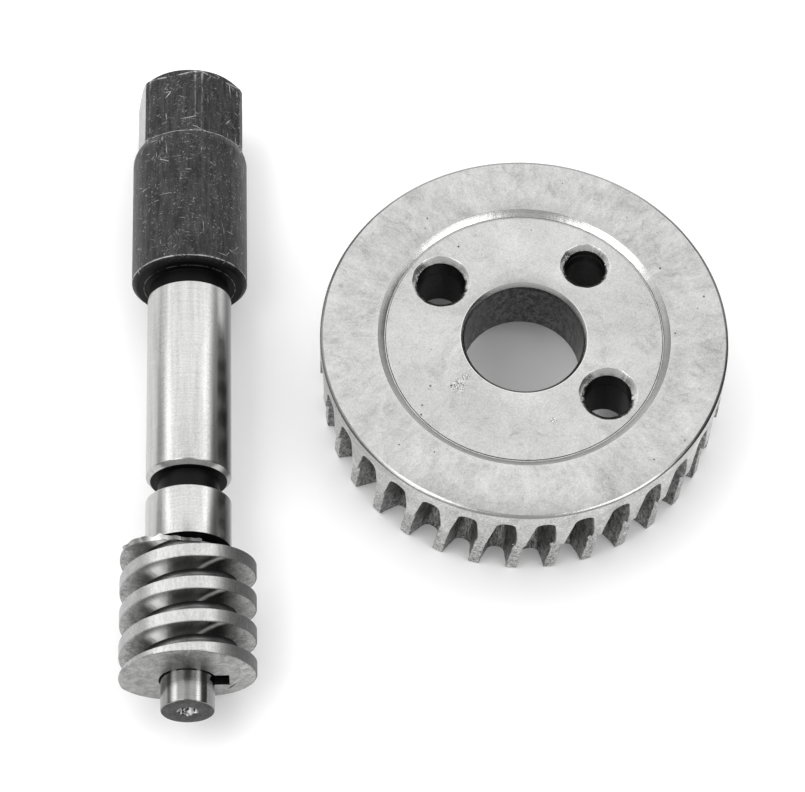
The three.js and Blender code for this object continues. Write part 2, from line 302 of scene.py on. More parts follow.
def toothed_ring(height, outer):
    """Angles and radii of all columns at a height that cuts the gaps."""
    rise = height - MESH_PLANE
    rise *= LOWER_RISE if rise < 0 else 1.0
    root = CENTRE_DISTANCE - math.sqrt(CUTTER_RADIUS ** 2 - rise ** 2)
    deep = outer - root
    soften = min(0.1, deep * 0.3)
    share = np.linspace(0, 1, FLANK_POINTS) ** 1.6
    radii = root + 0.0005 + (deep - soften) * share
    low, high = gap_edges(radii, rise)
    edge_low, edge_high = gap_edges([outer], rise)
    angles = np.concatenate([
        low[::-1],
        [(low[0] + high[0]) / 2],
        high,
        crest_columns(edge_low[0] - soften / outer, edge_high[0] + soften / outer),
    ])
    distances = np.concatenate([
        radii[::-1],
        [root],
        radii,
        np.full(CREST_POINTS, outer),
    ])
    return angles, distances


def outer_radius(height):
    """The rim's radius: rounded at the bottom and smaller below the step."""
    if height < 0.4:
        return LOWER_RIM - 0.3 * (1 - height / 0.4) ** 2
    if height < STEP_HEIGHT - 0.01:
        return LOWER_RIM
    return RIM


def wheel_rings():
    """All rings of the wheel, from the bottom of the recess wall, round the outside and in."""
    turns = FIRST_GAP + np.arange(TEETH) * TOOTH_TURN
    even = (turns[:, None] + even_angles()[None, :]).ravel()
    rings = []

    def add(angles, radii, heights):
        angles, radii, heights = np.broadcast_arrays(angles, radii, heights)
        rings.append(np.stack([radii * np.cos(angles), radii * np.sin(angles), heights], 1))

    def torn(height, angles, radii):
        """Ragged edges on the crests below the step, worst just under it."""
        angles = angles.reshape(TEETH, TOOTH_POINTS).copy()
        radii = radii.reshape(TEETH, TOOTH_POINTS).copy()
        near = math.exp(-((height - STEP_HEIGHT + 0.7) / 0.9) ** 2) if height < STEP_HEIGHT else 0
        for tooth in range(TEETH):
            rag = 0.012 + 0.05 * (height < STEP_HEIGHT)
            left = rag * lumps(height * 3.1 + 40 * tooth, 11) + 0.5 * near * max(
                0, lumps(height * 2.3 + 17 * tooth, 12) + 0.35)
            right = rag * lumps(height * 3.7 + 29 * tooth, 13)
            first, last = GAP_POINTS, TOOTH_POINTS - 1
            angles[tooth, first] -= left / RIM
            angles[tooth, first - 1] -= left * 0.7 / RIM
            angles[tooth, last] += right / RIM
            radii[tooth, first:] += 0.03 * lumps(
                np.arange(CREST_POINTS) * 0.9 + height * 2.2 + 9 * tooth, 14
            ) * (height < STEP_HEIGHT)
        return angles.ravel(), radii.ravel()

    heights = [0, 0.08, 0.2, 0.4, 0.7] + list(np.arange(1.2, STEP_HEIGHT - 0.25, 0.5))
    heights += [STEP_HEIGHT - 0.12, STEP_HEIGHT, STEP_HEIGHT + 0.12]
    upper = STEP_HEIGHT + 0.12 + (GAP_TOP - 0.004 - STEP_HEIGHT - 0.12) * np.sin(
        np.linspace(0, 1, 24)[1:] * math.pi / 2)
    heights += list(upper)
    bottom_angles = None
    for height in heights:
        angles, radii = toothed_ring(height, outer_radius(height))
        angles = (turns[:, None] + angles[None, :]).ravel()
        radii = np.tile(radii, TEETH)
        angles, radii = torn(height, angles, radii)
        level = np.full(angles.shape, float(height))
        if abs(height - STEP_HEIGHT) < 0.13:
            level += 0.07 * lumps(angles * 60, 15)
        if bottom_angles is None:
            bottom_angles = angles
            add(even, UNDERSIDE_RADIUS, 0.25)
            add(even, UNDERSIDE_RADIUS + 0.25, 0.0)
            add(angles, 33.0, 0.0)
        add(angles, radii, level)
    top = (turns[:, None] + top_layout()[None, :]).ravel()
    add(top, RIM, GAP_TOP)
    dressed = (np.degrees(even) - WIDEST_CHAMFER + 180) % 360 - 180
    chamfer = 0.32 + 0.1 * np.exp(-(dressed / 20) ** 2)
    chamfer += 0.02 * lumps(even * 3, 16) + 0.015 * lumps(even * 31, 17)
    for share in (0.3, 0.65, 1.0):
        blend = share * share * (3 - 2 * share)
        add(top + (even - top) * blend, RIM, GAP_TOP + (PLAIN_BAND - GAP_TOP) * share)
    nick = 0.10 * np.maximum(0, lumps(even * 47, 18) - 1.05)
    slope = 1.7
    add(even, RIM - 0.02, WHEEL_HEIGHT - chamfer - 0.04)
    add(even, RIM - 0.05, WHEEL_HEIGHT - chamfer)
    add(even, RIM - 0.05 - (chamfer - 0.03) * slope + nick, WHEEL_HEIGHT - 0.03)
    add(even, RIM - 0.12 - chamfer * slope, WHEEL_HEIGHT)
    ragged = 0.03 * lumps(even * 25, 19)
    inward = [(radius, WHEEL_HEIGHT) for radius in (34.0, 30.5, RECESS_RADIUS + 0.12)]
    inward += [(RECESS_RADIUS, WHEEL_HEIGHT - 0.03),
               (RECESS_FLOOR_RADIUS + 0.12 + ragged, WEB_TOP + 0.05),
               (RECESS_FLOOR_RADIUS + 0.03 + ragged, WEB_TOP - 0.14),
               (RECESS_FLOOR_RADIUS - 0.12, WEB_TOP - 0.15),
               (RECESS_FLOOR_RADIUS - 0.26, WEB_TOP)]
    inward += [(radius, WEB_TOP) for radius in (25.0, 20.0, 15.0, BORE + BORE_CHAMFER + 0.08)]
    inward += [(BORE + BORE_CHAMFER - 0.02, WEB_TOP - 0.03),
               (BORE + 0.03, WEB_TOP - BORE_CHAMFER + 0.02),
               (BORE, WEB_TOP - BORE_CHAMFER - 0.06)]
    inward += [(BORE, height) for height in np.linspace(WEB_TOP - 2, WEB_UNDERSIDE + 1, 6)]
    inward += [(BORE, WEB_UNDERSIDE + 0.4), (BORE + 0.4, WEB_UNDERSIDE)]
    inward += [(radius, WEB_UNDERSIDE) for radius in (15.0, 20.0, 25.0, UNDERSIDE_RADIUS - 0.5)]
    inward += [(UNDERSIDE_RADIUS - 0.15, WEB_UNDERSIDE - 0.15),
               (UNDERSIDE_RADIUS, WEB_UNDERSIDE - 0.5), (UNDERSIDE_RADIUS, 4.0)]
    for radius, height in inward:
        add(even, radius, height)
    return np.array(rings)


def hole_cutter(radius, chamfer, seed, stepped):
    """A drill with a chattering countersink and fine tool rings near its mouth."""
    columns = 72
    turn = np.arange(columns) * TAU / columns
    chatter = 0.035 * np.sin(turn * 13 + seed) + 0.02 * np.sin(turn * 7 + 2 * seed)
    rings = []

    def add(distance, height, wobble=0.0):
        reach = distance + wobble * chatter
        rings.append(np.stack([
            reach * np.cos(turn), reach * np.sin(turn), np.full(columns, height)], 1))

    add(radius, WEB_UNDERSIDE - 1)
    add(radius, WEB_TOP - 5)
    for depth in np.arange(4.4, chamfer + 0.25, -0.2):
        tool_mark = 0.035 * (round(depth / 0.2) % 2)
        ledge = 0.13 if stepped and depth < 2.2 else 0.0
        add(radius - (0.13 if stepped else 0.0) + ledge + tool_mark, WEB_TOP - depth)
    add(radius + 0.02, WEB_TOP - chamfer - 0.04)
    add(radius + 0.06, WEB_TOP - chamfer + 0.04, 0.6)
    add(radius + chamfer - 0.03, WEB_TOP - 0.05, 1.0)
    add(radius + chamfer + 0.05, WEB_TOP + 0.001, 1.0)
    add(radius + chamfer + 0.05, WEB_TOP + 1, 1.0)
    return rings


def bolt_place(angle):
    """The x and y of a bolt hole, from its angle in degrees."""
    turn = math.radians(angle)
    return BOLT_CIRCLE * math.cos(turn), BOLT_CIRCLE * math.sin(turn)


def wheel_regions(mesh):
    """The material slot of each face, by where it lies and which way it looks."""
    centres, normals = face_centres(mesh)
    height = centres[:, 2]
    radius = np.hypot(centres[:, 0], centres[:, 1])
    level = np.abs(normals[:, 2])
    outward = (normals[:, :2] * centres[:, :2]).sum(1) / np.maximum(radius, 1)
    in_hole = np.zeros(len(radius), bool)
    for angle, hole, chamfer in BOLT_HOLES:
        x, y = bolt_place(angle)
        off = np.hypot(centres[:, 0] - x, centres[:, 1] - y)
        in_hole |= (off < hole + 0.2) & (height < WEB_TOP - chamfer + 0.05)
    region = np.full(len(radius), FACE)
    side = (radius > 31) & (height < WHEEL_HEIGHT - 0.5)
    region[side] = OUTSIDE
    region[side & (radius > 37.3) & (height < STEP_HEIGHT) & (outward > 0.8)] = TORN_CRESTS
    gap = side & (height < GAP_TOP + 0.05) & ((outward < 0.8) | (radius < 36.8))
    region[gap & (level < 0.98)] = GAPS
    region[(radius < BORE + 0.2) & (height < WEB_TOP - BORE_CHAMFER)] = BORE_WALL
    sloped = (level > 0.3) & (level < 0.97)
    chamfers = sloped & (height < WHEEL_HEIGHT - 0.02) & (height > WEB_TOP - 1.2)
    region[chamfers] = CHAMFERS
    region[chamfers & (radius > 25) & (radius < 28)] = RECESS_SLOPE
    region[chamfers & (radius > 35)] = OUTER_EDGE
    region[in_hole & (height > WEB_UNDERSIDE - 0.01) & (level < 0.9)] = HOLE_WALL
    return region


def make_wheel(materials):
    """The rim, its gaps, the recess and the bore as one closed skin, with the holes cut."""
    low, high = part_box("worm_wheel")
    place = Matrix.Translation(((low.x + high.x) / 2, (low.y + high.y) / 2, low.z))
    rings = wheel_rings()
    rows, columns = rings.shape[:2]
    wheel = new_object("wheel_worm_gear", rings.reshape(-1, 3),
                       grid_faces(rows, columns, wrap=True), place, materials)
    for number, (angle, radius, chamfer) in enumerate(BOLT_HOLES):
        points, faces = capped(hole_cutter(radius, chamfer, number * 2.3, number == 1))
        shift = Matrix.Translation(Vector((*bolt_place(angle), 0)) * MM)
        boolean(wheel, new_object("drill", points, faces, place @ shift, []), "DIFFERENCE")
    paint(wheel.data, wheel_regions(wheel.data))
    smooth(wheel, 26)
    return wheel


# ------------ shaft line
def shaft_frame():
    """The shaft's own frame: Y runs along it from its stub end."""
    joint = next(j for j in frame["record"]["behaviour"]["joints"] if j["child"] == "worm_shaft")
    along = Vector(joint["axis"]).normalized()
    across = Vector((1, 0, 0))
    up = across.cross(along)
    place = Matrix((across, along, up)).transposed().to_4x4()
    place.translation = Vector(joint["pos_m"])
    return place


def hex_columns():
    """Angles round the shaft, with columns exactly on the edges of the hexagon's flats."""
    angles = []
    for side in range(6):
        middle = HEX_CORNER + math.pi / 6 + side * math.pi / 3
        for t in np.linspace(-1, 1, 21)[:-1]:
            angles.append(middle + HALF_FLAT * t)
        strip = math.pi / 3 - 2 * HALF_FLAT
        for t in np.linspace(0, 1, 5)[:-1]:
            angles.append(middle + HALF_FLAT + strip * t)
    return np.array(angles)


def flat_offset(turn):
    """How far a turn is from the middle of the hexagon's nearest flat."""
    middle = HEX_CORNER + math.pi / 6
    return (turn - middle + math.pi / 6) % (math.pi / 3) - math.pi / 6


def shaft_outline():
    """Radius and station of the turned part, from its centre hole to the hexagon."""
    return rounded([
        [0.001, 3.2], [0.6, 3.0], [0.75, 1.8], [1.55, 0.35], [1.85, 0.0], [4.72, 0.0],
        [SEAT, 0.18], [SEAT, SHOULDER], [JOURNAL, SHOULDER], [JOURNAL, 41.75],
        [7.69, GROOVE_START], [GROOVE, GROOVE_START], [GROOVE, GROOVE_END],
        [7.05, GROOVE_END], [JOURNAL, 47.2], [JOURNAL, 85.3], [NECK, NECK_START],
        [NECK, COLLAR_START], [8.5, COLLAR_START], [8.7, COLLAR_START],
        [8.9, COLLAR_START], [10.1, COLLAR_START], [COLLAR, 89.1], [COLLAR, 89.7],
        [COLLAR, 90.4], [COLLAR, 115.6], [10.95, 116.1], [10.8, 116.75], [10.6, 117.3],
        [10.4, HEX_START],
    ], 0.15)


def shaft_regions(mesh):
    """The material slot of each face, by its station and its radius."""
    centres, normals = face_centres(mesh)
    station = centres[:, 1]
    radius = np.hypot(centres[:, 0], centres[:, 2])
    region = np.full(len(station), JOURNALS)
    region[station < WORM_END - 0.5] = STUB
    step = (station > WORM_END - 0.5) & (station < SHOULDER + 0.1) & (radius < 7.9)
    region[step] = BLACKENED
    region[(station < 3.3) & (radius < 2.0)] = CENTRE_HOLE
    region[(station < 0.02) & (radius > 1.8)] = SAWN_END
    groove = (station > GROOVE_START - 0.1) & (station < GROOVE_END + 0.1) & (radius < 7.2)
    region[groove | (station > NECK_START - 0.1)] = BLACKENED
    toward = np.degrees(np.arctan2(normals[:, 2], normals[:, 0]))
    region[(station > HEX_START + 0.3) & (np.abs(toward - RUBBED_TURN) < 1)] = RUBBED_FLAT
    return region


def shaft_wear_and_sheen(mesh):
    """How bright each vertex of the blackened part is made along its edges, from 0 to 1: partly
    steel showing where the blackening has come off, partly painted edge highlights.
    """
    x, y, z = read(mesh.vertices, "co").T / MM
    radius = np.hypot(x, z)

    def near(value, centre, wide):
        return np.exp(-((value - centre) / wide) ** 2)

    off = np.abs(flat_offset(np.arctan2(z, x)))
    flat_edge = (np.abs(off - HALF_FLAT) < 0.01) & (y > HEX_START + 0.1)
    wear_and_sheen = 0.9 * near(y, COLLAR_START + 0.95, 0.12) * (radius > 10.5)
    wear_and_sheen += near(y, HEX_START, 0.2)
    # Painted highlight: a thin bright ring on the collar's flat underside, where an edge would
    # glint.
    wear_and_sheen += 0.5 * near(radius, 8.7, 0.12) * (np.abs(y - COLLAR_START) < 0.1)
    wear_and_sheen += 0.42 * flat_edge + 0.7 * near(y, SHAFT_LENGTH - 1.15, 0.2) * (radius > 9.6)
    return np.minimum(wear_and_sheen, 1.0).astype(np.float32)


def mark(mesh, name, values):
    """Stores one number per vertex for the materials to read."""
    layer = mesh.attributes.new(name, "FLOAT", "POINT")
    layer.data.foreach_set("value", values)


def make_shaft(place, materials):
    """The turned part and the hexagon as one closed skin, with the key's seat cut in it."""
    turn = hex_columns()
    flat_reach = HEX_FLATS / 2 / np.cos(flat_offset(turn))
    rings = [ring_about_y(r, turn, y) for r, y in shaft_outline()]

    def hex_ring(station, limit, blend=1.0):
        reach = np.minimum(np.minimum(flat_reach, HEX_ROUND), limit)
        rings.append(ring_about_y(limit + (reach - limit) * blend, turn, station))

    for into, share in ((0.08, 0.55), (0.2, 0.9), (0.35, 1)):
        hex_ring(HEX_START + into, 10.6, share)
    for station in np.linspace(HEX_START + 1, SHAFT_LENGTH - 1.35, 6):
        hex_ring(station, HEX_ROUND)
    for into in np.linspace(0, 1.1, 12):
        hex_ring(SHAFT_LENGTH - 1.2 + into, HEX_ROUND - into)
    hex_ring(SHAFT_LENGTH, HEX_ROUND - 1.25)
    for reach in (7.0, 3.0):
        rings.append(ring_about_y(reach, turn, SHAFT_LENGTH))
    shaft = new_object("shaft_with_hex_end", *capped(rings), place, materials)
    carve(shaft, "seat", key_rings(4.0, 16.0, 2.8, 9.0), place)
    paint(shaft.data, shaft_regions(shaft.data))
    mark(shaft.data, "wear_and_sheen", shaft_wear_and_sheen(shaft.data))
    smooth(shaft, 24)
    return shaft


def key_rings(width, length, floor, top, soft=0.0):
    """A bar with round ends along Y, from floor to top along X, with softened edges."""
    straight = (length - width) / 2
    ring = []
    for start, end in ((0, straight), (math.pi, -straight)):
        for turn in np.linspace(start, start + math.pi, 13):
            ring.append((width / 2 * math.cos(turn), end + width / 2 * math.sin(turn)))
    ring = np.array(ring)
    levels = [(floor, 1), (top, 1)]
    if soft:
        small = 1 - soft * 0.2
        levels = [(floor, small), (floor + soft, 1), (top - soft, 1), (top, small)]
    return [np.stack([np.full(len(ring), height), KEY_MIDDLE + ring[:, 1] * grow,
                      ring[:, 0] * grow], 1) for height, grow in levels]


def make_key(place, materials):
    rings = key_rings(3.7, 15.7, 2.95, 7.35, 0.25)
    key = new_object("key_parallel", *capped(rings), place, materials)
    smooth(key, 30)
    return key


def thread_section():
    """Half outline of the thread: distance from the worm's axis and half width."""
    root = WORM_ROOT
    slope = math.tan(FLANK)
    base = CREST_WIDTH / 2 + THREAD_DEPTH * slope
    half = [(root - 1.0, base + 0.62), (root - 0.01, base + 0.62)]
    for t in np.linspace(0.15, 1, 7):
        half.append((root - 0.01 + 0.95 * t ** 2, base + 0.62 - (0.62 + 0.95 * slope) * (
            1 - (1 - t) ** 1.7)))
    crest = CREST_WIDTH / 2
    return half + [
        (WORM_RADIUS - 1.6, crest + 1.6 * slope), (WORM_RADIUS - 0.22, crest + 0.22 * slope),
        (WORM_RADIUS - 0.07, crest - 0.01), (WORM_RADIUS, crest - 0.13),
        (WORM_RADIUS, CREST_WIDTH / 6)]


def burr_rings():
    """The torn edge where the far end's plane cuts the last turn of the thread."""
    rings = []
    for number, lean in enumerate(np.radians(np.arange(-66, 20, 1.6))):
        centre = WORM_START - PITCH + THREAD_PHASE + PITCH * (4.75 + lean / TAU)
        past = centre - WORM_END - CREST_WIDTH / 2
        reach = min(max(WORM_RADIUS - past / math.tan(FLANK), 8.2), WORM_RADIUS - 0.05)
        heap = math.exp(-((math.degrees(lean) + 34) / 22) ** 2)
        flake, fold, tip = (0.5 + 0.5 * float(lumps(number * rate, seed, 2))
                            for rate, seed in ((0.36, 23), (0.47, 24), (0.5, 25)))
        tall = 0.25 + (0.35 + 1.3 * heap) * max(0.2, flake)
        thick = 0.2 + (0.3 + 0.5 * heap) * max(0.2, fold)
        turn = 1.5 * math.pi + lean
        section = [(reach - 0.5, -0.3), (reach + tall * 0.4, -0.3 - 0.4 * heap * max(0, tip)),
                   (reach + tall, 0.1 + 0.2 * fold), (reach - 0.1, thick),
                   (reach - 0.5, 0.1)]
        rings.append([(r * math.cos(turn), WORM_END + y, -r * math.sin(turn))
                      for r, y in section])
    return rings


def worm_regions(mesh):
    """The material slot of each face, by where it lies."""
    x, y, z = face_centres(mesh)[0].T
    radius = np.hypot(x, z)
    region = np.full(len(radius), FLANKS)
    region[radius > WORM_RADIUS - 0.3] = CRESTS
    region[(y < WORM_START + 0.01) | ((y < WORM_START + 0.3) & (radius > 12.25))] = FRONT_END
    keyway = (x > 0) & (x < 7.51) & (np.abs(z) < 2.01) & (radius < 7.8)
    inside = (radius < 5.3) | (keyway & (y > WORM_START + 0.05))
    region[inside] = KEYWAY
    region[(radius < WORM_ROOT + 0.9) & ~inside & (y > WORM_START + 0.3)] = ROOTS
    region[(y > WORM_END + 0.01) & (radius > WORM_ROOT + 0.1)] = BURR
    return region


def make_worm(place, materials):
    """A swept thread on a core, trimmed to length, with its burr, bore and keyway."""
    half = thread_section()
    section = half + [(r, -w) for r, w in reversed(half)]
    per_turn = 120
    turns = (WORM_END - WORM_START) / PITCH + 2
    count = int(turns * per_turn)
    rings = []
    for i in range(count + 1):
        turn = TAU * i / per_turn
        station = WORM_START - PITCH + PITCH * i / per_turn + THREAD_PHASE
        scuff = 0.02 * float(lumps(i * 0.31, 21))
        ring = [(r + (scuff if r > 12.3 else 0), station + w) for r, w in section]
        rings.append([(r * math.cos(turn), y, -r * math.sin(turn)) for r, y in ring])
    worm = new_object("worm_thread", *capped(rings), place, materials)
    root = WORM_ROOT
    core = rounded([[0.001, WORM_START - 2], [root, WORM_START - 2], [root, WORM_END],
                    [0.001, WORM_END]], 0.01)
    carve(worm, "core", lathe(core, 144), place, "UNION")
    trim = rounded([[0.001, WORM_START], [12.32, WORM_START], [12.6, WORM_START + 0.28],
                    [14, WORM_START + 1], [14, WORM_END - 0.5], [13.5, WORM_END],
                    [0.001, WORM_END]], 0.05)
    carve(worm, "trim", lathe(trim, 144), place, "INTERSECT")
    carve(worm, "burr", burr_rings(), place, "UNION")
    bore = rounded([[0.001, WORM_START - 1], [6.2, WORM_START - 1], [5.25, WORM_START],
                    [5.0, WORM_START + 0.25], [5.0, WORM_END + 1], [0.001, WORM_END + 1]], 0.05)
    carve(worm, "bore", lathe(bore, 96), place)
    slot = [np.array([(0, y, -2.0), (7.5, y, -2.0), (7.5, y, 2.0), (0, y, 2.0)])
            for y in (WORM_START - 1, WORM_END + 1)]
    carve(worm, "slot", slot, place)
    paint(worm.data, worm_regions(worm.data))
    smooth(worm, 30)
    return worm


# ------------ node trees
STEEL_SHADE = 0.75
STEEL_BLUE = 0.99


class Value:
    """A node's output, which adds and multiplies as a number does."""

    def __init__(self, nodes, socket):
        self.nodes, self.socket = nodes, socket

    def __add__(self, other):
        return self.nodes.math("ADD", self, other)

    def __sub__(self, other):
        return self.nodes.math("SUBTRACT", self, other)

    def __rsub__(self, other):
        return self.nodes.math("SUBTRACT", other, self)

    def __mul__(self, other):
        return self.nodes.math("MULTIPLY", self, other)

    def __abs__(self):
        return self.nodes.math("ABSOLUTE", self)

    __radd__, __rmul__ = __add__, __mul__


class Nodes:
    """Adds nodes to a tree and returns their outputs as values."""

    def __init__(self, tree):
        self.tree = tree

    def add(self, kind, **settings):
        node = self.tree.nodes.new(kind)
        for key, value in settings.items():
            setattr(node, key, value)
        return node

    def link(self, source, target):
        if isinstance(source, Value):
            self.tree.links.new(source.socket, target)
        else:
            target.default_value = source

    def feed(self, node, values, output=0):
        """Sets a node's inputs, by name or by place, and returns one of its outputs."""
        for key, value in values.items():
            self.link(value, node.inputs[key])
        return Value(self, node.outputs[output])

    def math(self, operation, *values, clamp=False):
        node = self.add("ShaderNodeMath", operation=operation, use_clamp=clamp)
        return self.feed(node, dict(enumerate(values)))

    def vector(self, operation, values, output=0):
        return self.feed(self.add("ShaderNodeVectorMath", operation=operation), values, output)

    def join(self, *values):
        return self.feed(self.add("ShaderNodeCombineXYZ"), dict(enumerate(values)))

    def split(self, vector):
        node = self.add("ShaderNodeSeparateXYZ")
        self.link(vector, node.inputs[0])
        return [Value(self, output) for output in node.outputs]

    def ramp(self, value, low, high, out_low=0.0, out_high=1.0):
        """Eases from out_low to out_high while the value goes from low to high."""
        node = self.add("ShaderNodeMapRange", interpolation_type="SMOOTHSTEP")
        return self.feed(node, {"Value": value, "From Min": low, "From Max": high,
                                "To Min": out_low, "To Max": out_high})


class Look(Nodes):
    """A material. Places are millimetres in the piece's own frame; radius and turn go round
    the wheel's axis Z or the shaft's axis Y, and lean is the turn away from the shaft's top."""

    def __init__(self, name, axis):
        self.material = bpy.data.materials.new(name)
        self.material.use_nodes = True
        super().__init__(self.material.node_tree)
        self.axis = axis
        metres = Value(self, self.add("ShaderNodeTexCoord").outputs["Object"])
        self.where = self.vector("SCALE", {0: metres, "Scale": 1 / MM})
        self.x, self.y, self.z = self.split(self.where)
        up = self.y if axis == "Z" else self.z
        self.radius = self.math("SQRT", self.x * self.x + up * up)
        self.turn = self.math("ARCTAN2", up, self.x)
        self.lean = self.turn - math.pi / 2

    def noise(self, scale, detail=3.0, rough=0.55, warp=0.0, at=None):
        return self.feed(self.add("ShaderNodeTexNoise"), {
            "Vector": at or self.where, "Scale": scale, "Detail": detail,
            "Roughness": rough, "Distortion": warp})

    def stretched(self, x, y, z, detail, rough, warp=0.0):
        """Noise on coordinates that are stretched, for marks that run one way."""
        return self.noise(1.0, detail, rough, warp, self.join(x, y, z))

    def specks(self, scale, size, density):
        """Small round pits: about `density` of the cells hold one."""
        cells = self.add("ShaderNodeTexVoronoi", feature="F1")
        distance = self.feed(cells, {"Vector": self.where, "Scale": scale}, "Distance")
        pick = self.add("ShaderNodeSeparateColor")
        self.link(Value(self, cells.outputs["Color"]), pick.inputs[0])
        chance, share, _ = (Value(self, output) for output in pick.outputs)
        wide = share * size
        pit = self.ramp(distance, wide * 0.4, wide, 1.0, 0.0)
        return pit * self.math("LESS_THAN", chance, density)

    def grey(self, tone):
        tone = self.math("MULTIPLY", tone, STEEL_SHADE, clamp=True)
        return self.join(tone, tone, tone * STEEL_BLUE)

    def bump(self, height, depth, strength):
        return self.feed(self.add("ShaderNodeBump"), {
            "Strength": strength, "Distance": depth * MM, "Height": height})

    def steel(self, tone, height, depth, strength, metal=1.0, **more):
        """The finished material: a grey tone over a bump of `depth` millimetres."""
        return self.set(color=self.grey(tone), metal=metal,
                        normal=self.bump(height, depth, strength), **more)

    def tangent(self):
        """Stretches highlights round the piece's axis, as on turned work."""
        node = self.add("ShaderNodeTangent", direction_type="RADIAL", axis=self.axis)
        return Value(self, node.outputs[0])

    def set(self, **values):
        names = {"color": "Base Color", "rough": "Roughness", "metal": "Metallic",
                 "normal": "Normal", "stretch": "Anisotropic", "tangent": "Tangent",
                 "gloss": "Specular IOR Level"}
        self.feed(self.tree.nodes["Principled BSDF"],
                  {names[key]: value for key, value in values.items()})
        return self.material


def vary(tone, *changes):
    """The tone made lighter and darker by noises, each with its amount, about one mean."""
    for noise, amount in changes:
        tone = tone + (noise - 0.5) * amount
    return tone


# ------------ wheel materials
DENTS = [(-12.6, -10.2, 1.7), (-11.2, -8.4, 0.9), (4.6, -17.6, 0.8)]    # x, y, size


def ground_face():
    """The flat faces: clouded, finely grained, with pits, stains and a few bruises."""
    look = Look("ground_steel_face", "Z")
    cloud = look.noise(0.06, 5.0, 0.6, 0.8)
    mottle = look.noise(0.42, 5.0, 0.72, 0.6)
    fine = look.noise(3.6, 3.0, 0.75)
    streaks = look.stretched(look.turn * 16.0, look.radius * 0.2, 0.0, 5.0, 0.7, 0.9)
    stain = look.ramp(look.noise(0.13, 6.0, 0.7, 1.6), 0.54, 0.66)
    smudge = look.ramp(look.noise(0.3, 4.0, 0.7, 1.0), 0.62, 0.72)
    pits = look.specks(0.5, size=0.15, density=0.38)
    grains = look.specks(1.5, size=0.26, density=0.2)
    rim = look.ramp(look.radius, RECESS_RADIUS + 0.05, 28.5)
    tone = vary(look.ramp(rim, 0.0, 1.0, 0.54, 0.515), (cloud, 0.34), (mottle, 0.2),
                (fine, 0.5), (streaks, 0.08 + rim * 0.3))
    tone = tone - stain * 0.07 - smudge * 0.10 - pits * 0.42 - grains * 0.16
    for x, y, size in DENTS:
        away = look.vector("DISTANCE", {0: look.where, 1: (x, y, WEB_TOP)}, "Value")
        dent = look.ramp(away + mottle * size, size * 0.9, size * 1.6, 1.0, 0.0)
        tone = tone + dent * (fine * 2.6 - 1.35)
    rings = look.stretched(look.radius * 9.0, 0.0, 0.0, 2.0, 0.6)
    height = rings * 0.2 + fine * 0.4 + mottle * 0.3 - pits * 3.0
    return look.steel(tone, height, 0.03, 0.7, rough=0.32 + mottle * 0.16)


def turned_rim():
    """The outside of the rim: turning lines, grain and a few dark specks."""
    look = Look("turned_steel_rim", "Z")
    lines = look.stretched(look.turn * 3.0, 0.0, look.z * 5.0, 4.0, 0.65)
    cloud = look.noise(0.25, 4.0, 0.6, 0.8)
    fine = look.noise(2.6, 2.0, 0.6)
    dark = look.specks(0.8, size=0.14, density=0.18)
    tone = vary(0.64, (cloud, 0.7), (lines, 0.4), (fine, 1.0)) - dark * 0.2
    return look.steel(tone, lines * 0.8 + fine * 0.35, 0.02, 0.7, rough=0.36)


def cut_gap():
    """The tooth gaps: the hob's drag marks, with small glints."""
    look = Look("hobbed_steel_gap", "Z")
    drag = look.stretched(look.turn * 120.0, look.radius * 1.2, look.z * 0.5, 4.0, 0.65, 0.4)
    grain = look.noise(3.2, 3.0, 0.7)
    glints = look.ramp(look.noise(2.1, 2.0, 0.5), 0.66, 0.78)
    tone = vary(0.12 + look.ramp(drag, 0.3, 0.75) * 0.5, (grain, 1.1)) + glints * 0.2
    return look.steel(tone, drag * 0.9 + grain * 0.6, 0.1, 0.9, rough=0.45)


def torn_crest():
    """The crests below the step: coarse, pitted metal."""
    look = Look("worn_steel_crest", "Z")
    grain = look.noise(2.4, 4.0, 0.7)
    patch = look.noise(0.9, 3.0, 0.6, 0.5)
    pits = look.specks(1.5, size=0.32, density=0.3)
    tone = vary(0.56, (grain, 2.4), (patch, 0.6)) - pits * 0.2
    return look.steel(tone, grain - pits * 0.7, 0.06, 0.8, rough=0.45)


def bore_wall():
    """The bore: dull and blotched, with bright sparks."""
    look = Look("dull_steel_bore", "Z")
    blotch = look.stretched(look.turn * 9.0, 0.0, look.z * 0.5, 5.0, 0.7, 0.3)
    lines = look.stretched(look.turn * 4.0, 0.0, look.z * 9.0, 3.0, 0.6)
    sparks = look.specks(1.1, size=0.16, density=0.12)
    fine = look.noise(2.4, 3.0, 0.7)
    tone = vary(0.07 + look.ramp(blotch, 0.35, 0.7) * 0.16, (lines, 0.26), (fine, 0.45))
    return look.steel(tone + sparks * 0.5, lines, 0.03, 0.6, rough=0.34)


def hole_wall():
    """The bolt holes: painted nearly black as shade inside them, with drill rings."""
    look = Look("shaded_steel_hole", "Z")
    lines = look.stretched(0.0, 0.0, look.z * 4.0, 3.0, 0.6)
    grain = look.noise(1.5, 3.0, 0.6)
    tone = 0.008 + lines * grain * 0.12
    return look.steel(tone, lines, 0.05, 0.7, rough=0.35, metal=0.9)


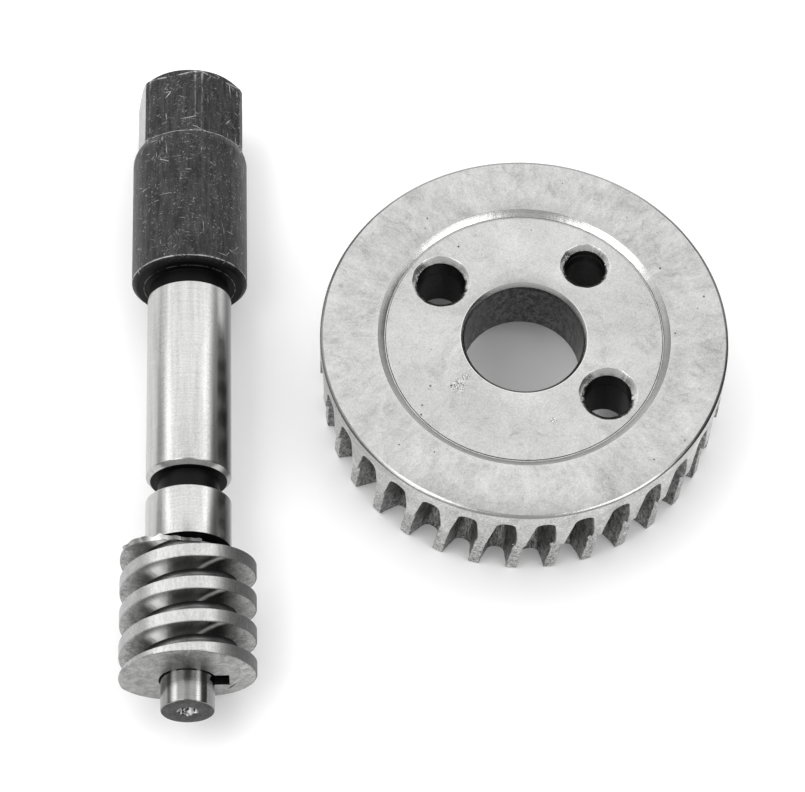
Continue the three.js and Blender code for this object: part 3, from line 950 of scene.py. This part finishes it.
def bright_chamfer(name, base, rough, rear=1.0, sides=1.0):
    """A freshly cut slope; `rear` and `sides` scale its tone at the wheel's back and sides, as
    painted light and shade: above one they paint a highlight, below one shade.
    """
    look = Look(name, "Z")
    lines = look.stretched(look.turn * 5.0, look.radius * 6.0, 0.0, 3.0, 0.6)
    patch = look.stretched(look.turn * 12.0, 0.0, 0.0, 3.0, 0.6)
    fine = look.noise(2.6, 3.0, 0.7)
    tone = base + lines * 0.14 + patch * 0.10 + fine * 0.14
    # Painted light and shade: the tone is scaled by where the slope lies on the wheel.
    tone = tone * look.ramp(look.y, -2.0, 18.0, 1.0, rear)
    tone = tone * look.ramp(abs(look.x), 20.0, 31.0, 1.0, sides)
    return look.steel(tone, lines + fine, 0.02, 0.7, rough=rough)


# ------------ shaft and worm materials
def ground_journal():
    """The journals: fine grinding lines, and a stripe of painted shade along one side, standing
    for a dark reflection.
    """
    look = Look("ground_steel_journal", "Y")
    lines = look.stretched(0.0, look.y * 7.0, look.turn, 4.0, 0.7)
    smear = look.stretched(look.turn * 7.0, look.y * 0.05, 0.0, 3.0, 0.6)
    marks = look.specks(0.35, size=0.06, density=0.12)
    fine = look.noise(2.4, 3.0, 0.7)
    # Painted shade: a darker stripe along one side, standing for a dark reflection; it turns with
    # the shaft.
    painted_band = look.ramp(abs(look.turn - (math.pi / 2 - 1.2)), 0.06, 0.32, 0.22, 1.0)
    tone = vary(0.52, (smear, 0.34), (lines, 0.34), (fine, 0.3)) * painted_band - marks * 0.25
    return look.set(color=look.grey(tone), rough=0.2, metal=1.0, stretch=0.4,
                    tangent=look.tangent(), normal=look.bump(lines, 0.012, 0.6))


def turned_stub():
    """The stub and the worm's seat: dark turned steel with two painted highlights in stripes along
    it.
    """
    look = Look("turned_steel_stub", "Y")
    lines = look.stretched(0.0, look.y * 5.0, look.turn, 4.0, 0.7)
    smear = look.stretched(look.turn * 5.0, look.y * 0.2, 0.0, 3.0, 0.6)
    rubbed_and_sheen = 0.0
    # Painted highlights: two stripes at fixed leans, lighter and less metallic so that they catch
    # light.
    for centre, wide in ((0.5, 0.2), (-0.45, 0.14)):
        painted_band = look.ramp(abs(look.lean - centre), 0.0, wide, 1.0, 0.0)
        rubbed_and_sheen = look.math("MAXIMUM", rubbed_and_sheen, painted_band)
    rubbed_and_sheen = rubbed_and_sheen * look.ramp(lines, 0.2, 0.6, 0.5, 1.0)
    tone = 0.15 + smear * 0.14 + lines * 0.12 + rubbed_and_sheen * 0.5
    return look.set(color=look.grey(tone), rough=0.14, metal=1.0 - rubbed_and_sheen * 0.6, stretch=0.4,
                    tangent=look.tangent(), normal=look.bump(lines, 0.02, 0.6))


def sawn_end(name, dark, grain_depth=6.0):
    """A flat left by a saw or a file: fine rings and a deep grain."""
    look = Look(name, "Y")
    rings = look.stretched(look.radius * 6.0, 0.0, 0.0, 3.0, 0.6)
    grain = look.noise(2.0, 4.0, 0.7)
    cloud = look.noise(0.7, 4.0, 0.7)
    tone = vary(dark * 1.35, (grain, dark * grain_depth), (cloud, dark * grain_depth))
    return look.steel(tone, rings + grain * 0.6, 0.03, 0.7, rough=0.4, metal=0.9)


def centre_hole():
    """A countersink painted in bright and dark patches round its axis, standing for the
    reflections in its cone.
    """
    look = Look("bright_steel_centre", "Y")
    painted_reflections = look.stretched(look.turn * 1.3, look.radius * 2.4, 0.0, 2.0, 0.6)
    tone = look.ramp(painted_reflections, 0.44, 0.56, 0.03, 1.0)
    return look.set(color=look.grey(tone), rough=0.3, metal=0.6)


SCRATCHES = [(0.5, 0.26, 0.7), (-0.9, 0.3, 0.71), (1.5, 0.2, 0.715), (0.05, 0.22, 0.7)]


def scratched(look):
    """Fine scratches in a few directions, each with its tilt, its rate along and its rarity."""
    arc = look.turn * COLLAR_ARC
    scratches = 0.0
    for number, (tilt, length, rarity) in enumerate(SCRATCHES):
        along = arc * math.cos(tilt) + look.y * math.sin(tilt)
        across = look.y * math.cos(tilt) - arc * math.sin(tilt)
        cut = look.stretched(along * length, across * 3.6, number * 7.3, 1.0, 0.5, 0.3)
        shifted = look.vector("ADD", {0: look.where, 1: (number * 9.0, 3.0, 1.0)})
        cluster = look.ramp(look.noise(0.22, 2.0, at=shifted), 0.47, 0.62)
        cut = look.ramp(cut, rarity, rarity + 0.05) * cluster
        scratches = look.math("MAXIMUM", scratches, cut)
    return scratches


def blackened():
    """The collar, its necks and the hexagon: blackened and scratched, showing steel on edges where
    the blackening has come off, with painted highlights along some edges.
    """
    look = Look("blackened_steel", "Y")
    cloud = look.noise(0.35, 5.0, 0.65, 0.5)
    grain = look.noise(3.0, 3.0, 0.7)
    wander = look.join(look.noise(0.4), look.noise(0.31), 0.0)
    warped = look.vector("ADD", {
        0: look.where, 1: look.vector("SCALE", {0: wander, "Scale": 2.0})})
    dust = look.ramp(look.noise(2.4, 4.0, 0.8, at=warped), 0.56, 0.7)
    dust = dust * look.ramp(cloud, 0.42, 0.58, 0.16, 0.8)
    round_side = look.ramp(look.radius, 8.0, 9.4)
    streak = look.stretched(look.turn * 11.0, look.y * 0.16, 0.0, 4.0, 0.7)
    streak = 0.5 + (streak - 0.5) * round_side
    scratches = scratched(look) * round_side
    # The vertex mark read here is steel showing through on edges and painted edge highlights
    # together.
    worn_and_sheen = Value(look, look.add("ShaderNodeAttribute", attribute_name="wear_and_sheen").outputs["Fac"])
    broken = look.ramp(look.noise(0.9, 3.0, 0.7), 0.36, 0.56, 0.42, 1.0)
    rubbed_and_sheen = look.ramp(worn_and_sheen * broken, 0.16, 0.85)
    outside = look.ramp(look.y, COLLAR_START + 0.1, COLLAR_START + 1.1)
    bare_and_sheen = look.math("MAXIMUM", scratches, dust) * outside
    bare_and_sheen = look.math("MAXIMUM", rubbed_and_sheen, bare_and_sheen, clamp=True)
    black = 0.004 + (cloud * 0.02 + look.ramp(streak, 0.3, 0.7) * 0.024) * outside
    gloss = 0.1 + outside * look.ramp(streak, 0.3, 0.7, 0.05, 0.18)
    coat = look.add("ShaderNodeMix", data_type="RGBA")
    tone = look.feed(coat, {"Factor": bare_and_sheen, 6: look.grey(black), 7: (0.42, 0.42, 0.42, 1.0)}, 2)
    return look.set(color=tone, rough=0.34 + grain * 0.2, metal=bare_and_sheen * 0.5, gloss=gloss,
                    normal=look.bump(grain * 0.5 - bare_and_sheen * 0.8, 0.03, 0.6))


def worm_look(name, base, spread, rough, bump, dull=0.0, mottle=0.0, metal=1.0):
    """Cut steel; `dull` paints shade on the worm's right and left sides, most on the right, and
    roughens the right one.
    """
    look = Look(name, "Y")
    lines = look.stretched(look.radius * 4.0, look.y * 4.0, look.turn, 3.0, 0.65)
    along = look.stretched(look.turn * 26.0, look.y * 0.5, look.radius * 0.5, 3.0, 0.65)
    cloud = look.noise(0.45, 5.0, 0.7, 0.6)
    fine = look.noise(2.6, 3.0, 0.7)
    pits = look.specks(1.1, size=0.16, density=0.26)
    tone = base + (cloud + lines * 0.4 + along * 0.7 + fine * 0.6 - pits * 0.8) * spread
    tone = vary(tone, (fine, base + mottle * 0.3), (along, base * 0.8), (cloud, mottle))
    # Painted shade: darker tone on the worm's right side and, less, on its left side.
    right = look.ramp(look.x, 4.0, 8.5) * dull
    left = look.ramp(look.x, -11.5, -7.0, 1.0, 0.0) * dull
    tone = tone * (1.0 - (right * 0.62 + left * 0.25))
    return look.set(color=look.grey(tone), metal=metal, rough=rough + right * 0.25,
                    normal=look.bump(lines + fine - pits * 1.2, bump, 0.7))


def flank_look():
    """Polished flanks with a painted highlight patch, a slanting painted highlight stripe and
    rougher sides, whose tone by side is painted light and shade.
    """
    look = Look("milled_steel_flank", "Y")
    cloud = look.noise(0.5, 5.0, 0.7, 0.6)
    fine = look.noise(2.6, 3.0, 0.7)
    rays = look.stretched(look.turn * 22.0, look.radius * 0.4, 0.0, 3.0, 0.65)
    pits = look.specks(1.1, size=0.17, density=0.3)

    def near(centre, wide):
        away = abs(look.lean - centre) + (rays - 0.5) * wide
        return look.ramp(away, 0.0, wide, 1.0, 0.0)

    slant = (look.radius - 8.5) * -0.08
    # Painted highlights: a patch and a slanting stripe at fixed leans, made less metallic so that
    # they catch light.
    patch = near(0.52, 0.32) * look.ramp(look.radius, 12.3, 10.6)
    painted_shine = patch + near(slant - 0.24, 0.11) * 0.6
    # Painted light and shade by side: the rougher sides lighter, the polished part right of the
    # top darker.
    matte_painted_right = look.ramp(look.lean, -1.0, -0.62, 1.0, 0.0)
    matte_painted_sides = look.math("MAXIMUM", matte_painted_right, look.ramp(look.lean, 0.72, 1.05))
    polished = vary(look.ramp(look.lean, -0.45, -0.2, 0.2, 0.42), (cloud, 0.4), (rays, 0.4))
    grey = vary(look.ramp(look.lean, -0.2, 0.2, 0.5, 0.44), (cloud, 0.9), (fine, 0.9))
    tone = polished * (1.0 - matte_painted_sides) + grey * matte_painted_sides + painted_shine * 0.9 - pits * 0.12
    return look.set(color=look.grey(tone), rough=0.32 + (matte_painted_sides * 0.2 + painted_shine * 0.35),
                    metal=look.math("SUBTRACT", 1.0, painted_shine * 0.75, clamp=True),
                    normal=look.bump(fine, 0.015, 0.7))


# ------------ build
wheel = make_wheel([ground_face(), turned_rim(), cut_gap(), torn_crest(), bore_wall(),
                    hole_wall(), bright_chamfer("bright_steel_chamfer", 0.58, 0.24),
                    # The recess slope is painted lighter at the back and darker at the sides; the
                    # outer edge is painted darker at the back and sides.
                    bright_chamfer("turned_steel_slope", 0.15, 0.24, rear=1.9, sides=0.35),
                    bright_chamfer("turned_steel_edge", 0.36, 0.24, rear=0.7, sides=0.4)])
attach(wheel, "worm_wheel")
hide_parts("worm_wheel")

line = shaft_frame()
shaft = make_shaft(line, [ground_journal(), turned_stub(), blackened(),
                          sawn_end("sawn_steel_end", 0.03), centre_hole(),
                          sawn_end("rubbed_steel_flat", 0.38, 1.2)])
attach(shaft, "worm_shaft")
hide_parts("worm_shaft")

key = make_key(line, [worm_look("drawn_steel_key", 0.4, 0.1, 0.35, 0.01)])
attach(key, "worm_shaft")
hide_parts("worm_key")

worm = make_worm(line, [
    flank_look(),
    worm_look("turned_steel_crest", 0.28, 0.2, 0.34, 0.03, dull=1.0),
    worm_look("faced_steel_end", 0.03, 0.27, 0.4, 0.04, mottle=0.55),
    # The worm's bore and keyway are painted nearly black, as shade inside them.
    worm_look("shaded_steel_keyway", 0.02, 0.03, 0.5, 0.03),
    worm_look("shiny_steel_root", 0.06, 0.09, 0.42, 0.012, dull=1.0),
    worm_look("torn_steel_burr", 0.8, 0.25, 0.45, 0.04, metal=0.25),
])
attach(worm, "worm")
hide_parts("worm")


# ------------ stage, lights, camera
def make_floor():
    work = bmesh.new()
    bmesh.ops.create_grid(work, x_segments=8, y_segments=8, size=3.0)
    mesh = bpy.data.meshes.new("floor")
    work.to_mesh(mesh)
    work.free()
    floor = bpy.data.objects.new("floor", mesh)
    bpy.context.scene.collection.objects.link(floor)
    paper = bpy.data.materials.new("white_paper")
    paper.use_nodes = True
    shader = paper.node_tree.nodes["Principled BSDF"]
    shader.inputs["Base Color"].default_value = (0.97, 0.97, 0.97, 1)
    shader.inputs["Emission Color"].default_value = (1, 1, 1, 1)
    shader.inputs["Emission Strength"].default_value = 0.06
    shader.inputs["Roughness"].default_value = 0.9
    shader.inputs["Specular IOR Level"].default_value = 0.1
    mesh.materials.append(paper)


STRIPS = [(-0.71, 0.09, 1.5), (0.66, 0.09, 1.3)]    # x, width, brightness


def make_world():
    """A white studio, brightest at the back. It is dimmer in front, at both sides, low down
    and overhead, and two bright strips stand behind the set."""
    world = bpy.data.worlds.new("studio")
    bpy.context.scene.world = world
    world.use_nodes = True
    nodes = Nodes(world.node_tree)
    x, y, z = nodes.split(Value(nodes, nodes.add("ShaderNodeTexCoord").outputs["Generated"]))
    front_to_back = nodes.ramp(y, -0.35, 0.4, 0.62, 1.86)
    right = nodes.ramp(x, 0.72, 0.86, 1.0, 0.1)
    left = nodes.ramp(x, -0.9, -0.78, 0.5, 1.0)
    low = nodes.ramp(z, 0.0, 0.45, 0.5, 1.0)
    overhead = nodes.ramp(z, 0.91, 0.97, 1.0, 0.5)
    total = front_to_back * overhead * right * (left * low)
    behind = nodes.ramp(y, 0.2, 0.38) * nodes.ramp(y, 0.56, 0.66, 1.0, 0.0)
    behind = behind * nodes.ramp(z, 0.38, 0.46)
    for middle, wide, extra in STRIPS:
        total = total + nodes.ramp(abs(x - middle), 0.0, wide, extra, 0.0) * behind
    nodes.feed(world.node_tree.nodes["Background"], {"Color": (1, 1, 1, 1), "Strength": total})


def softbox(name, left, right, front, rear, radiance):
    """A level soft light; its edges are slopes x/z and y/z seen from the middle of the set."""
    height = 0.9
    lamp = bpy.data.lights.new(name, "AREA")
    lamp.shape = "RECTANGLE"
    lamp.size, lamp.size_y = (right - left) * height, (rear - front) * height
    lamp.energy = radiance * math.pi * lamp.size * lamp.size_y
    thing = bpy.data.objects.new(name, lamp)
    bpy.context.scene.collection.objects.link(thing)
    thing.location = ((left + right) / 2 * height, (front + rear) / 2 * height, height)


def make_camera():
    """The camera stands over the set's near side and looks down at it, leaning a little."""
    rise, swing, lean = math.radians(61.676), math.radians(3.258), math.radians(2.048)
    right = Vector((math.cos(swing), -math.sin(swing), 0))
    back = Vector((-math.cos(rise) * math.sin(swing), -math.cos(rise) * math.cos(swing),
                   math.sin(rise)))
    up = back.cross(right)
    side = right * math.cos(lean) + up * math.sin(lean)
    top = up * math.cos(lean) - right * math.sin(lean)
    lens = bpy.data.cameras.new("camera")
    lens.sensor_width = 36.0
    lens.lens = 4.347702 * lens.sensor_width
    lens.clip_start, lens.clip_end = 0.01, 20
    camera = bpy.data.objects.new("camera", lens)
    bpy.context.scene.collection.objects.link(camera)
    place = Matrix((side, top, back)).transposed().to_4x4()
    target, distance = Vector((-3.755, 4.266, 0)) * MM, 0.67156
    place.translation = target + back * distance
    camera.matrix_world = place
    bpy.context.scene.camera = camera


make_floor()
make_world()
softbox("softbox_left", -1.02, -0.3, -0.68, 0.08, 2.8)
softbox("softbox_right", 0.29, 1.15, -0.69, -0.2, 2.8)
make_camera()
bpy.context.scene.view_settings.view_transform = "Standard"
